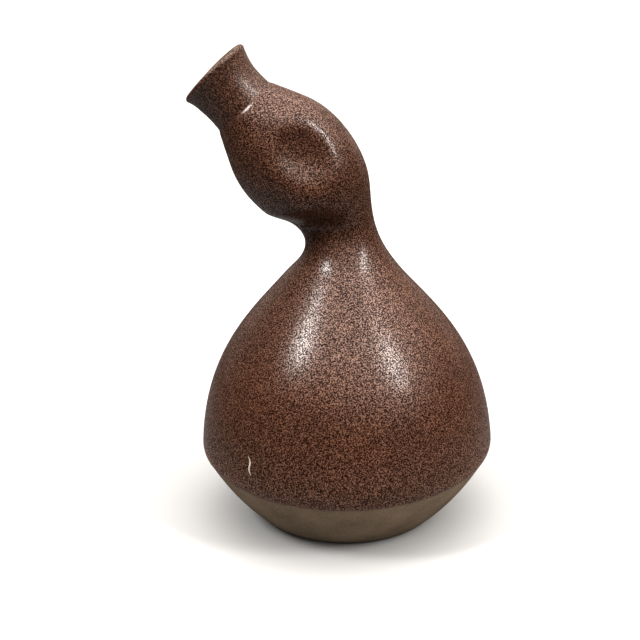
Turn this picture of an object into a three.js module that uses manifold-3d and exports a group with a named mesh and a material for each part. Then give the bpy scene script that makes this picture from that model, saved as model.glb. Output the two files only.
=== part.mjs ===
// A stoneware flower vase in the shape of a duck looking up.
// It is made from five clay sections, each thrown or bent to shape, and joined while leather-hard
// with a soft clay coil pressed into every seam from the inside. The open beak is the vase's mouth.
// Millimetres, +Z up. The foot stands on z = 0 around the origin and the beak points along -X.

import * as THREE from "three";
import { mergeVertices } from "three/addons/utils/BufferGeometryUtils.js";
import Module from "manifold-3d";

const wasm = await Module();
wasm.setup();

// Foot and bowl, the bare lower section
const FOOT_RADIUS = 34.6;
const FOOT_EDGE = 1; // bevel round the foot
const FOOT_RING_RADIUS = 25; // inside edge of the ring that stands on the table
const FOOT_HOLLOW = 1.2; // how far the middle of the base is turned away
const FLOOR_HEIGHT = 6; // top of the floor inside
const FLOOR_RADIUS = 22; // flat part of the floor inside
const FLOOR_CORNER_RADIUS = 38; // where the floor's curve turns up into the wall
const BELLY_RADIUS = 55.2; // the edge where bowl and dome meet
const BELLY_HEIGHT = 28;
const BELLY_ROUNDING = 2.4; // length of the softened edge on each side
const BOWL_BULGE = 2.2; // pull of the bowl's wall away from a straight cone
const BODY_WALL = 4.5;

// Dome, the glazed upper body, as a curve from the belly up to the neck seam
const DOME_SIDE_RADIUS = 53.5;
const DOME_SIDE_HEIGHT = 66.3;
const DOME_SHOULDER_RADIUS = 32.6;
const DOME_SHOULDER_HEIGHT = 81.3;
const NECK_SEAM_RADIUS = 18.8;
const NECK_SEAM_HEIGHT = 98;

// Neck collar, a short tube that bends forward under the head
const NECK_WALL = 5;
const THROAT_RISE = 20.5; // how far the throat's curve leans on the dome's slope
const THROAT_SWEEP = 6; // how far it leans on the head's underside
const NAPE_RISE = 11;
const NAPE_SWEEP = 7.4;

// Head, an egg on a leaning axis; along runs from its middle toward the beak
const HEAD_FORWARD = 16.9;
const HEAD_HEIGHT = 136.7;
const HEAD_TILT = 42; // degrees from upright
const HEAD_RADIUS = 21.3;
const HEAD_FRONT = 27.6; // half length toward the beak
const HEAD_BACK = 32.4; // half length toward the neck
const HEAD_WALL = 4;
const HEAD_SHOULDER = 14.1; // along: where the egg starts to narrow into the beak
const HEAD_CUT_BACK = 18.3; // behind the middle: where the neck cut crosses the axis
const HEAD_CUT_TILT = 12.6; // degrees from level

// Eyes, two thumb dents opposite each other
const EYE_ALONG = 4;
const EYE_ABOVE = 5;
const EYE_SPREAD = 8; // radius where the dent has faded to about a third
const EYE_DEPTH = 3.4;

// Beak, a flared collar on the head's axis
const BEAK_SEAM_ALONG = 25.5;
const BEAK_SEAM_RADIUS = 12.8;
const BEAK_WAIST_RADIUS = 11.8;
const BEAK_WAIST_ALONG = 31;
const BEAK_FLARE_RADIUS = 11.8;
const BEAK_FLARE_ALONG = 36.7;
const LIP_RADIUS = 14.4;
const LIP_ALONG = 43.2;
const LIP_THICKNESS = 2.6;
const BEAK_WALL = 3.4;

// Joints
const SLIP_GAP = 0.3; // layer of joining slip between two sections
const COIL_RADIUS = 2; // rolled clay pressed into each seam

// Facets
const BODY_SIDES = 48;
const HEAD_SIDES = 40;
const COIL_SIDES = 7;

const glaze = { color: 0x6b4a3e, roughness: 0.42, metalness: 0 };
const bareClay = { color: 0x6a5f52, roughness: 0.85, metalness: 0 };
const coilClay = { color: 0x8a7664, roughness: 0.9, metalness: 0 };

const tilt = THREE.MathUtils.degToRad(HEAD_TILT);
const cutTilt = THREE.MathUtils.degToRad(HEAD_CUT_TILT);
const point = (radius, height) => new THREE.Vector2(radius, height);

// Closed surface to solid, with the seams of the surface merged and its pointed ends cleaned.
function toSolid(geometry) {
  const bare = geometry.clone();
  bare.deleteAttribute("normal");
  bare.deleteAttribute("uv");
  const merged = mergeVertices(bare, 1e-4);
  const index = merged.index.array;
  const kept = [];
  for (let i = 0; i < index.length; i += 3) {
    const [a, b, c] = index.slice(i, i + 3);
    if (a !== b && b !== c && c !== a) kept.push(a, b, c);
  }
  const mesh = new wasm.Mesh({
    numProp: 3,
    vertProperties: new Float32Array(merged.attributes.position.array),
    triVerts: new Uint32Array(kept),
  });
  return new wasm.Manifold(mesh);
}

function toGeometry(solid) {
  const mesh = solid.getMesh();
  const geometry = new THREE.BufferGeometry();
  geometry.setAttribute("position", new THREE.BufferAttribute(mesh.vertProperties, 3));
  geometry.setIndex(new THREE.BufferAttribute(mesh.triVerts, 1));
  geometry.computeVertexNormals();
  return geometry;
}

// A profile of (radius, height) points turned round +Z; it runs up the outside and down the inside.
function turned(profile, sides) {
  return new THREE.LatheGeometry(profile, sides).rotateX(Math.PI / 2);
}

// Rings of equal length joined into a closed skin, the last ring back to the first.
function lofted(rings) {
  const sides = rings[0].length;
  const positions = rings.flat().flatMap((p) => [p.x, p.y, p.z]);
  const faces = [];
  rings.forEach((_, row) => {
    const next = (row + 1) % rings.length;
    for (let side = 0; side < sides; side++) {
      const turn = (side + 1) % sides;
      const [a, b] = [row * sides + side, row * sides + turn];
      const [c, d] = [next * sides + side, next * sides + turn];
      faces.push(a, b, d, a, d, c);
    }
  });
  const geometry = new THREE.BufferGeometry();
  geometry.setAttribute("position", new THREE.Float32BufferAttribute(positions, 3));
  geometry.setIndex(faces);
  return geometry;
}

// Body outline: the bowl's wall, the softened belly edge and the dome's curve
const foot = point(FOOT_RADIUS, FOOT_EDGE);
const belly = point(BELLY_RADIUS, BELLY_HEIGHT);
const bowlMiddle = foot.clone().lerp(belly, 0.5).add(point(BOWL_BULGE, -BOWL_BULGE));
const bowlWall = new THREE.QuadraticBezierCurve(foot, bowlMiddle, belly);
const domeWall = new THREE.CubicBezierCurve(
  belly,
  point(DOME_SIDE_RADIUS, DOME_SIDE_HEIGHT),
  point(DOME_SHOULDER_RADIUS, DOME_SHOULDER_HEIGHT),
  point(NECK_SEAM_RADIUS, NECK_SEAM_HEIGHT),
);
const bowlWallEnd = 1 - BELLY_ROUNDING / bowlWall.getLength();
const domeWallStart = BELLY_ROUNDING / domeWall.getLength();
const edgeBelow = bowlWall.getPointAt(bowlWallEnd);
const edgeAbove = domeWall.getPointAt(domeWallStart);
const bellyEdge = new THREE.QuadraticBezierCurve(edgeBelow, belly, edgeAbove).getPoints(4);

// The insides take the wall as a value, so that a coil can be fitted a slip gap away from them.
const insideBelly = (wall) => point(BELLY_RADIUS - wall, BELLY_HEIGHT + 0.3 * wall);

function insideBowl(wall) {
  const rise = wall - BODY_WALL;
  return new THREE.QuadraticBezierCurve(
    point(FLOOR_RADIUS, FLOOR_HEIGHT + rise),
    point(FLOOR_CORNER_RADIUS - rise, FLOOR_HEIGHT + rise),
    insideBelly(wall),
  );
}

function insideDome(wall) {
  const start = insideBelly(wall);
  return new THREE.CubicBezierCurve(
    start,
    point(DOME_SIDE_RADIUS - wall, DOME_SIDE_HEIGHT),
    point(DOME_SHOULDER_RADIUS - wall, DOME_SHOULDER_HEIGHT),
    point(NECK_SEAM_RADIUS - NECK_WALL - (wall - BODY_WALL), NECK_SEAM_HEIGHT),
  );
}

// Points at even spacing on the stretch of a curve between two shares of its length
function spaced(curve, pieces, from = 0, to = 1) {
  const share = (i) => THREE.MathUtils.lerp(from, to, i / pieces);
  return Array.from({ length: pieces + 1 }, (_, i) => curve.getPointAt(share(i)));
}

function makeBowl() {
  const profile = [
    point(0, FOOT_HOLLOW),
    point(FOOT_RING_RADIUS - FOOT_HOLLOW, FOOT_HOLLOW),
    point(FOOT_RING_RADIUS, 0),
    point(FOOT_RADIUS - FOOT_EDGE, 0),
    ...spaced(bowlWall, 7, 0, bowlWallEnd),
    ...bellyEdge.slice(1, 3),
    ...spaced(insideBowl(BODY_WALL), 8).reverse(),
    point(0, FLOOR_HEIGHT),
  ];
  return turned(profile, BODY_SIDES);
}

function makeDome() {
  const rim = bellyEdge.slice(2, 4).map((p) => point(p.x, p.y + SLIP_GAP));
  const inside = spaced(insideDome(BODY_WALL), 9);
  inside[0].y += SLIP_GAP;
  const profile = [...rim, ...spaced(domeWall, 12, domeWallStart, 1), ...inside.reverse()];
  return turned([...profile, profile[0].clone()], BODY_SIDES);
}

// Places on the head: beside is square to its axis on the middle plane, toward the back of the head.
function onHead(beside, ahead) {
  return point(
    -HEAD_FORWARD + beside * Math.cos(tilt) - ahead * Math.sin(tilt),
    HEAD_HEIGHT + beside * Math.sin(tilt) + ahead * Math.cos(tilt),
  );
}

function placedOnHead(geometry) {
  return geometry.rotateY(-tilt).translate(-HEAD_FORWARD, 0, HEAD_HEIGHT);
}

// The egg as an ellipse on each side of its widest ring
const eggRadius = (ahead, radius, length) => radius * Math.sqrt(Math.max(0, 1 - (ahead / length) ** 2));

// The neck cut is a level line leaned by the cut tilt; it meets the egg at the throat and the nape.
const cutLean = point(Math.cos(cutTilt - tilt), Math.sin(cutTilt - tilt));

function cutEnds(radius, length) {
  const a = (cutLean.x / radius) ** 2 + (cutLean.y / length) ** 2;
  const b = (-2 * HEAD_CUT_BACK * cutLean.y) / length ** 2;
  const c = (HEAD_CUT_BACK / length) ** 2 - 1;
  const root = Math.sqrt(b * b - 4 * a * c);
  return [(-b - root) / (2 * a), (-b + root) / (2 * a)].map((reach) =>
    point(cutLean.x * reach, cutLean.y * reach - HEAD_CUT_BACK),
  );
}

const [throatEnd, napeEnd] = cutEnds(HEAD_RADIUS, HEAD_BACK);
const cutMiddle = throatEnd.clone().lerp(napeEnd, 0.5);
const cutHalf = throatEnd.distanceTo(napeEnd) / 2;
const cutDepth = Math.sqrt(eggRadius(cutMiddle.y, HEAD_RADIUS, HEAD_BACK) ** 2 - cutMiddle.x ** 2);

// Direction of the egg's outline, pointing away from the neck, at a place on its back half
function eggDirection(place) {
  const slope = point(-place.y / HEAD_BACK ** 2, place.x / HEAD_RADIUS ** 2).normalize();
  if (place.x < 0) slope.negate();
  const origin = onHead(0, 0);
  return onHead(slope.x, slope.y).sub(origin);
}

// One side of the neck on the middle plane, from the dome's slope to the egg's outline
function neckSide(side, rise, end, sweep) {
  const start = point(side * NECK_SEAM_RADIUS, NECK_SEAM_HEIGHT);
  const slope = domeWall.getTangent(1);
  const finish = onHead(end.x, end.y);
  return new THREE.CubicBezierCurve(
    start,
    start.clone().add(point(side * slope.x, slope.y).multiplyScalar(rise)),
    finish.clone().addScaledVector(eggDirection(end), -sweep),
    finish,
  );
}

const throat = neckSide(-1, THROAT_RISE, throatEnd, THROAT_SWEEP);
const nape = neckSide(1, NAPE_RISE, napeEnd, NAPE_SWEEP);

// A ring of the neck between its throat and its nape, drawn in by the wall for the inside
function neckRing(share, wall, shift) {
  const front = throat.getPoint(share);
  const back = nape.getPoint(share);
  const half = front.distanceTo(back) / 2;
  const depth = half * THREE.MathUtils.lerp(1, cutDepth / cutHalf, share);
  const across = back.clone().sub(front).normalize();
  const middle = front.lerp(back, 0.5);
  return Array.from({ length: HEAD_SIDES }, (_, i) => {
    const angle = (2 * Math.PI * i) / HEAD_SIDES;
    const reach = (half - wall) * Math.cos(angle);
    return new THREE.Vector3(
      middle.x + across.x * reach - across.y * shift,
      (depth - wall) * Math.sin(angle),
      middle.y + across.y * reach + across.x * shift,
    );
  });
}

function neckRings(wall, steps, startShift, endShift) {
  return Array.from({ length: steps + 1 }, (_, i) => {
    const shift = i === 0 ? startShift : i === steps ? endShift : 0;
    return neckRing(i / steps, wall, shift);
  });
}

function makeNeck() {
  const outside = neckRings(0, 9, SLIP_GAP, 0);
  const inside = neckRings(NECK_WALL, 9, SLIP_GAP, 0);
  return lofted([...outside, ...inside.reverse()]);
}

// Half outline of the egg from its back end to the beak seam
function headOutline(inset, backSteps, frontSteps) {
  const radius = HEAD_RADIUS - inset;
  const front = HEAD_FRONT - inset;
  const back = HEAD_BACK - inset;
  const shoulder = HEAD_SHOULDER - inset / 3;
  const outline = [];
  for (let i = 0; i <= backSteps; i++) {
    const angle = (Math.PI / 2) * (i / backSteps);
    outline.push(point(radius * Math.sin(angle), -back * Math.cos(angle)));
  }
  const last = Math.asin(shoulder / front);
  for (let i = 1; i <= frontSteps; i++) {
    const angle = last * (i / frontSteps);
    outline.push(point(radius * Math.cos(angle), front * Math.sin(angle)));
  }
  const start = outline[outline.length - 1];
  const slope = point(-radius * Math.sin(last), front * Math.cos(last)).normalize();
  const seam = point(BEAK_SEAM_RADIUS - inset, BEAK_SEAM_ALONG);
  const pull = start.distanceTo(seam) / 2;
  const blend = new THREE.QuadraticBezierCurve(start, start.clone().addScaledVector(slope, pull), seam);
  outline.push(...blend.getPoints(3).slice(1));
  outline[0].x = 0;
  return outline;
}

// Pushes both sides of the head in where the thumbs pressed the eyes.
function pressEyes(geometry) {
  const eye = onHead(EYE_ABOVE, EYE_ALONG);
  const places = geometry.attributes.position;
  for (let i = 0; i < places.count; i++) {
    const [x, y, z] = [places.getX(i), places.getY(i), places.getZ(i)];
    const away = Math.hypot(x - eye.x, z - eye.y) / EYE_SPREAD;
    places.setY(i, y - Math.sign(y) * Math.min(Math.abs(y), EYE_DEPTH * Math.exp(-away * away)));
  }
  return geometry;
}

// A block that fills everything on the neck's side of the cut
function belowCut(clearance) {
  const size = 4 * HEAD_BACK;
  const [x, z] = onHead(cutMiddle.x, cutMiddle.y);
  const drop = size / 2 - clearance;
  const block = new THREE.BoxGeometry(size, size, size).rotateY(-cutTilt);
  return block.translate(x + Math.sin(cutTilt) * drop, 0, z - Math.cos(cutTilt) * drop);
}

function headSkin(outline) {
  return pressEyes(placedOnHead(turned(outline, HEAD_SIDES)));
}

function makeHead() {
  const outside = headOutline(0, 9, 6);
  const inside = headOutline(HEAD_WALL, 8, 5);
  const shell = toSolid(headSkin([...outside, ...inside.reverse()]));
  return toGeometry(shell.subtract(toSolid(belowCut(SLIP_GAP))));
}

function beakOutline(inset, steps) {
  const lip = LIP_RADIUS - (inset > 0 ? LIP_THICKNESS + inset - BEAK_WALL : 0);
  const curve = new THREE.CubicBezierCurve(
    point(BEAK_SEAM_RADIUS - inset, BEAK_SEAM_ALONG + SLIP_GAP),
    point(BEAK_WAIST_RADIUS - inset, BEAK_WAIST_ALONG),
    point(BEAK_FLARE_RADIUS - inset, BEAK_FLARE_ALONG),
    point(lip, LIP_ALONG - LIP_THICKNESS / 2),
  );
  return curve.getPoints(steps);
}

function makeBeak() {
  const middle = LIP_RADIUS - LIP_THICKNESS / 2;
  const lip = [30, 90, 150].map((angle) => {
    const turn = THREE.MathUtils.degToRad(angle);
    const round = LIP_THICKNESS / 2;
    return point(middle + round * Math.cos(turn), LIP_ALONG + round * (Math.sin(turn) - 1));
  });
  const profile = [...beakOutline(0, 7), ...lip, ...beakOutline(BEAK_WALL, 6).reverse()];
  return placedOnHead(turned([...profile, profile[0].clone()], HEAD_SIDES));
}

// The hollow inside two neighbouring sections, a slip gap smaller than their walls
function bodyHollow() {
  const wall = BODY_WALL + SLIP_GAP;
  const profile = [
    point(0, FLOOR_HEIGHT + SLIP_GAP),
    ...spaced(insideBowl(wall), 8),
    ...spaced(insideDome(wall), 9).slice(1),
    point(NECK_SEAM_RADIUS - NECK_WALL - SLIP_GAP, NECK_SEAM_HEIGHT + SLIP_GAP),
    point(0, NECK_SEAM_HEIGHT + SLIP_GAP),
  ];
  return toSolid(turned(profile, BODY_SIDES));
}

function neckHollow() {
  const rings = neckRings(NECK_WALL + SLIP_GAP, 9, -SLIP_GAP, SLIP_GAP);
  const middles = rings.map((ring) => {
    const sum = ring.reduce((total, p) => total.add(p), new THREE.Vector3());
    const middle = sum.divideScalar(ring.length);
    return ring.map(() => middle.clone());
  });
  return toSolid(lofted([middles[0], ...rings, middles[middles.length - 1]]));
}

function headHollow() {
  const outline = headOutline(HEAD_WALL + SLIP_GAP, 8, 5);
  const beak = beakOutline(BEAK_WALL + SLIP_GAP, 6);
  const top = beak[beak.length - 1];
  return toSolid(headSkin([...outline, ...beak, point(0, top.y)]));
}

// A ring of rolled clay, cut to the hollow that it is pressed into
function coil(ringRadius, sides, place, hollow) {
  const roll = new THREE.TorusGeometry(ringRadius, COIL_RADIUS, COIL_SIDES, sides);
  return toGeometry(toSolid(place(roll)).intersect(hollow));
}

const hollowBody = bodyHollow();
const hollowNeck = neckHollow();
const hollowHead = headHollow();
const headAboveCut = hollowHead.subtract(toSolid(belowCut(0)));

function makeBellyCoil() {
  const corner = insideBelly(BODY_WALL);
  return coil(corner.x, BODY_SIDES, (roll) => roll.translate(0, 0, corner.y), hollowBody);
}

function makeNeckCoil() {
  const radius = NECK_SEAM_RADIUS - NECK_WALL;
  const place = (roll) => roll.translate(0, 0, NECK_SEAM_HEIGHT);
  return coil(radius, HEAD_SIDES, place, hollowBody.add(hollowNeck));
}

function makeHeadCoil() {
  const [x, z] = onHead(cutMiddle.x, cutMiddle.y);
  const place = (roll) => roll.rotateY(-cutTilt).translate(x, 0, z);
  return coil(cutHalf - NECK_WALL, HEAD_SIDES, place, hollowNeck.add(headAboveCut));
}

function makeBeakCoil() {
  const radius = BEAK_SEAM_RADIUS - (HEAD_WALL + BEAK_WALL) / 2;
  const place = (roll) => placedOnHead(roll.translate(0, 0, BEAK_SEAM_ALONG));
  return coil(radius, HEAD_SIDES, place, headAboveCut);
}

const vase = new THREE.Group();

function addPiece(name, geometry, finish) {
  const piece = new THREE.Mesh(geometry, new THREE.MeshStandardMaterial(finish));
  piece.name = name;
  vase.add(piece);
}

addPiece("foot_bowl", toGeometry(toSolid(makeBowl())), bareClay);
addPiece("belly_dome", toGeometry(toSolid(makeDome())), glaze);
addPiece("neck_collar", toGeometry(toSolid(makeNeck())), glaze);
addPiece("head_shell", makeHead(), glaze);
addPiece("beak_spout", toGeometry(toSolid(makeBeak())), glaze);
addPiece("belly_coil", makeBellyCoil(), coilClay);
addPiece("neck_coil", makeNeckCoil(), coilClay);
addPiece("head_coil", makeHeadCoil(), coilClay);
addPiece("beak_coil", makeBeakCoil(), coilClay);

export default vase;
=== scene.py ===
# %% [markdown]
# This lesson builds a stoneware flower vase in the shape of a duck that looks
# up. A potter throws five sections on the wheel, joins them while the clay is
# damp, presses the eyes with a thumb and dips all but the foot into a speckled
# glaze. The cells follow that order: outlines, rings of clay, the joined skin,
# the finishes, the light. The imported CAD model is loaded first, because it
# gives the frame: metres, Z up through the body, the beak toward -X.

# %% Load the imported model
import math

import bpy
import numpy as np
from mathutils import Matrix


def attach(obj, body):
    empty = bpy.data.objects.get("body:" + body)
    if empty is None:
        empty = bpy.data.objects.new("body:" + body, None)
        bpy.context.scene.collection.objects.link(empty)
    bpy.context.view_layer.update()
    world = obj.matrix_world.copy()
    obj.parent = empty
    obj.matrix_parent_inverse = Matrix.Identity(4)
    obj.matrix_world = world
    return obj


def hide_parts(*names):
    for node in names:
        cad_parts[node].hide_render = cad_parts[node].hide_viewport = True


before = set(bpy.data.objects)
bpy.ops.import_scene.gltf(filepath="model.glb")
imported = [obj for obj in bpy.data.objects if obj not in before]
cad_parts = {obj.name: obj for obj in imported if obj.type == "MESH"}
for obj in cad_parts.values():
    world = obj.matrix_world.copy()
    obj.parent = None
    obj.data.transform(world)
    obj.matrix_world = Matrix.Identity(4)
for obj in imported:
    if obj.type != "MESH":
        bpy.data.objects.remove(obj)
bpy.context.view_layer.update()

# %% [markdown]
# A potter reads callipers in millimetres, so the outlines are drawn in
# millimetres, and MM turns them into metres when a mesh is made. An outline
# could be a long list of traced points. A bent line with three or four control
# points, a Bezier curve, is smoother, and one number moves a whole stretch.

# %% Bent lines
MM = 0.001


def bend(controls, steps):
    share = np.linspace(0.0, 1.0, steps + 1)[:, None]
    lines = [np.tile(np.array(point, float), (steps + 1, 1)) for point in controls]
    while len(lines) > 1:
        lines = [first * (1 - share) + second * share for first, second in zip(lines, lines[1:])]
    return lines[0]


print("a quarter bend in four steps:", bend(((0, 0), (1, 0), (1, 1)), 4).round(2).tolist())

# %% [markdown]
# A bent line crowds its points where it curves hard. Clay shades best when its
# rings are evenly spaced, so each outline is walked in equal steps, as if a
# small wheel rolled along it. The walk may also start late and stop early,
# which leaves space to round a corner.

# %% Even steps
def lengths(line):
    return np.r_[0.0, np.cumsum(np.linalg.norm(np.diff(line, axis=0), axis=1))]


def walk(line, count, start=0.0, stop=None):
    along = lengths(line)
    stop = along[-1] if stop is None else stop
    wanted = np.linspace(start, stop, count + 1)
    return np.stack([np.interp(wanted, along, part) for part in line.T], axis=1)


print("half of a 4 mm line:", walk(np.array(((0.0, 0.0), (4.0, 0.0))), 2, 0.0, 2.0).tolist())

# %% [markdown]
# All that is thrown on a wheel is round. Blender's Screw modifier could turn an
# outline, but here the head leans, the neck bends and thumbs press the eyes.
# So the rings stay arrays of points, which can still be pushed about like damp
# clay before they become a mesh.

# %% Rings round an upright axis
ROUND = 216  # points in every ring
turn = np.linspace(0.0, 2.0 * np.pi, ROUND, endpoint=False)
COS = np.cos(turn)
SIN = np.sin(turn)


def turned(outline):
    radius, height = outline[:, :1], outline[:, 1:]
    return np.stack([radius * COS, radius * SIN, height + 0 * COS], axis=2)


print(ROUND, "points per ring, one every", round(360 / ROUND, 2), "degrees")

# %% [markdown]
# The vase stands on a ring. The middle is turned hollow so that the vase does
# not rock, and a bevel is cut under the outer edge, which leaves the thin dark
# line between clay and floor. A bevel modifier would round every edge alike.
# Drawing the cut in the outline gives this edge its own slope.

# %% Under the foot
FOOT = np.array((35.2, 1.6))  # radius and height of the outer edge
STAND_FROM, STAND_TO = 25.5, 31.6  # radii of the ring that touches the floor
HOLLOW_RADIUS, HOLLOW_HEIGHT, HOLLOW_STEP = 22.4, 1.2, 1.0
AXIS_GAP = 0.02  # the innermost ring is tiny, but not a point
HOLLOW_ROWS, STEP_ROWS, BEVEL_ROWS = 3, 6, 6

hollow_end = (HOLLOW_RADIUS, HOLLOW_HEIGHT)
step_foot = STAND_FROM - HOLLOW_STEP
hollow_rows = walk(np.array(((AXIS_GAP, HOLLOW_HEIGHT), hollow_end)), HOLLOW_ROWS)[:-1]
step_bends = (hollow_end, (step_foot, HOLLOW_HEIGHT), (step_foot, 0.0), (STAND_FROM, 0.0))
hollow_step = bend(step_bends, STEP_ROWS)
bevel_rows = walk(np.array(((STAND_TO, 0.0), FOOT)), BEVEL_ROWS)[:-1]
under_foot = np.concatenate([hollow_rows, hollow_step, bevel_rows])
print("rings under the foot:", len(under_foot))

# %% [markdown]
# The body is two thrown shapes: a bowl that flares from the foot, and a dome
# turned upside down on it. The joined rims leave an edge round the belly that a
# wet sponge has softened. Each shape is one bent line, and the two corners, at
# the foot and at the belly, are short bends of their own, so their softness
# does not disturb the long curves.

# %% Bowl and dome
BELLY = np.array((55.18, 28.0))  # radius and height of the widest edge
FOOT_ROUNDING, BELLY_ROUNDING, BOWL_BULGE = 0.5, 2.4, 2.2
DOME_SIDE, DOME_SHOULDER, NECK_SEAM = (53.5, 66.3), (32.6, 81.3), (18.8, 98.0)
NECK_START = 94.0  # height at which the neck leaves the dome's curve
FINE_STEPS = 200  # steps of a bent line before it is walked
BOWL_ROWS, DOME_ROWS, FOOT_EDGE_ROWS, BELLY_EDGE_ROWS = 44, 96, 5, 12

out_and_down = np.array((1.0, -1.0))
bowl_middle = (FOOT + BELLY) / 2 + BOWL_BULGE * out_and_down
bowl_line = bend((FOOT, bowl_middle, BELLY), FINE_STEPS)
dome_line = bend((BELLY, DOME_SIDE, DOME_SHOULDER, NECK_SEAM), 2 * FINE_STEPS)
bowl_end = lengths(bowl_line)[-1] - BELLY_ROUNDING
dome_end = np.interp(NECK_START, dome_line[:, 1], lengths(dome_line))
bowl_rows = walk(bowl_line, BOWL_ROWS, FOOT_ROUNDING, bowl_end)
dome_rows = walk(dome_line, DOME_ROWS, BELLY_ROUNDING, dome_end)
foot_edge = bend((bevel_rows[-1], FOOT, bowl_rows[0]), FOOT_EDGE_ROWS)[1:-1]
belly_edge = bend((bowl_rows[-1], BELLY, dome_rows[0]), BELLY_EDGE_ROWS)[1:-1]

below_belly = np.concatenate([under_foot, foot_edge, bowl_rows])
body_rings = turned(np.concatenate([below_belly, belly_edge, dome_rows]))
belly_row = len(below_belly) + len(belly_edge) // 2
print("body of", len(body_rings), "rings, belly edge at ring", belly_row)

# %% [markdown]
# The head was thrown as an egg on its own axis and set on the neck at a slant.
# An egg could be modelled upright and rotated as an object. Here its axis is
# two directions on the middle plane, one ahead to the beak and one beside it to
# the crown, so that neck and head can share rings of points where they join.

# %% Axis of the head
HEAD_PLACE = np.array((-16.9, 136.7))  # X and Z of the egg's middle
HEAD_TILT = math.radians(42.0)
AXIS = np.array((-math.sin(HEAD_TILT), math.cos(HEAD_TILT)))
BESIDE = np.array((math.cos(HEAD_TILT), math.sin(HEAD_TILT)))


def on_head(beside, ahead):
    return HEAD_PLACE + np.multiply.outer(beside, BESIDE) + np.multiply.outer(ahead, AXIS)


def axis_ring(radius, ahead):
    place = on_head(radius * COS, ahead + 0 * COS)
    return np.stack([place[:, 0], radius * SIN, place[:, 1]], axis=1)


print("the head leans forward by", round(math.degrees(HEAD_TILT)), "degrees")

# %% [markdown]
# The egg's outline has a long back half, a shorter front half and a shoulder
# that runs up to the beak. Two ellipses meet at the widest place without a
# crease, and a short bent line that starts along the ellipse's own slope
# carries on to the seam. A sphere stretched by hand would miss the shoulder.

# %% Outline of the egg
HEAD_RADIUS, HEAD_FRONT, HEAD_BACK = 21.3, 27.6, 32.4
HEAD_SHOULDER = 14.1  # the front ellipse ends this far ahead of the middle
BEAK_SEAM = np.array((13.0, 25.2))  # radius and distance ahead
SHORT_STEPS = 60  # steps of a short bent line

back_turn = np.linspace(0.0, np.pi / 2, FINE_STEPS)
back_line = np.stack([HEAD_RADIUS * np.sin(back_turn), -HEAD_BACK * np.cos(back_turn)], axis=1)
last_turn = math.asin(HEAD_SHOULDER / HEAD_FRONT)
front_turn = np.linspace(0.0, last_turn, FINE_STEPS // 2)[1:]
front_line = np.stack([HEAD_RADIUS * np.cos(front_turn), HEAD_FRONT * np.sin(front_turn)], axis=1)

slope = np.array((-HEAD_RADIUS * math.sin(last_turn), HEAD_FRONT * math.cos(last_turn)))
reach = np.linalg.norm(BEAK_SEAM - front_line[-1]) / 2
shoulder_bend = front_line[-1] + reach * slope / np.linalg.norm(slope)
shoulder_line = bend((front_line[-1], shoulder_bend, BEAK_SEAM), SHORT_STEPS)[1:]
egg_line = np.concatenate([back_line, front_line, shoulder_line])
print("egg", HEAD_FRONT + HEAD_BACK, "mm long and", 2 * HEAD_RADIUS, "mm across")

# %% [markdown]
# The egg is cut open at a slant to sit on the neck. Rings square to the egg's
# axis would meet that cut at odd angles and pinch. So the rings fan out: the
# first lies in the cut, and each next one turns a little until it is square to
# the axis. A slanted ring is found by halving the distance out to the skin
# until the skin is met.

# %% Slanted rings
FARTHEST = 40.0  # mm, certainly outside the head
HALVINGS = 40


def egg_radius(ahead):
    return np.interp(ahead, egg_line[:, 1], egg_line[:, 0])


def head_ring(ahead, lean):
    across = np.array((math.cos(lean), math.sin(lean)))

    def out_to_skin(start, cos, sin):
        inner, outer = np.zeros_like(cos), np.full_like(cos, FARTHEST)
        for _ in range(HALVINGS):
            middle = (inner + outer) / 2
            step = start + middle * cos
            square = (step * (across @ BESIDE)) ** 2 + (middle * sin) ** 2
            inside = square < egg_radius(ahead + step * (across @ AXIS)) ** 2
            inner, outer = np.where(inside, middle, inner), np.where(inside, outer, middle)
        return inner

    ends = out_to_skin(0.0, np.array((1.0, -1.0)), np.zeros(2))
    middle = (ends[0] - ends[1]) / 2
    away = out_to_skin(middle, COS, SIN)
    place = on_head(0.0, ahead) + np.multiply.outer(middle + away * COS, across)
    return np.stack([place[:, 0], away * SIN, place[:, 1]], axis=1)


print("a ring square to the axis is", round(np.ptp(head_ring(0.0, HEAD_TILT)[:, 1]), 2), "mm wide")

# %% [markdown]
# Now the whole head: the fan from the cut, then rings square to the axis as far
# as the beak. The cut lies behind the egg's middle and leans less than the
# axis does, which is what makes the duck look up. A whole egg with a Boolean
# cut would be quicker, but it leaves slivers at the seam that shade badly.

# %% Rings of the head
CUT_AHEAD, CUT_LEAN = -18.3, math.radians(12.6)
SQUARE_FROM = -2.0  # from here on the rings are square to the axis
FAN_ROWS, SQUARE_ROWS = 30, 36

fan_share = np.linspace(0.0, 1.0, FAN_ROWS + 1)
fan_ahead = CUT_AHEAD + (SQUARE_FROM - CUT_AHEAD) * fan_share
fan_lean = CUT_LEAN + (HEAD_TILT - CUT_LEAN) * fan_share
fan = [head_ring(ahead, lean) for ahead, lean in zip(fan_ahead, fan_lean)]
square_rows = walk(egg_line[egg_line[:, 1] >= SQUARE_FROM], SQUARE_ROWS)[1:]
head_rings = np.array(fan + [axis_ring(*row) for row in square_rows])
print("head of", len(head_rings), "rings")

# %% [markdown]
# The beak is a small collar, narrower than the hole in the egg, so the egg's
# rim stands out as a ledge. The finger that joined them pressed hardest at the
# two sides: there the ledge is crisp, and it catches a bright crescent. Above
# and below it is wiped almost smooth. The ledge's strength is therefore a bell
# curve round the ring instead of the same step everywhere.

# %% Ledge round the beak
BEAK_START = np.array((12.22, 26.4))  # radius and distance ahead
LEDGE_BEND, LEDGE_ROWS = np.array((12.3, 25.95)), 7
LEDGE_LEAST = 0.15  # what is left of the ledge above and below
LEDGE_TURN, LEDGE_SPREAD = math.radians(84.0), math.radians(26.0)

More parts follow.
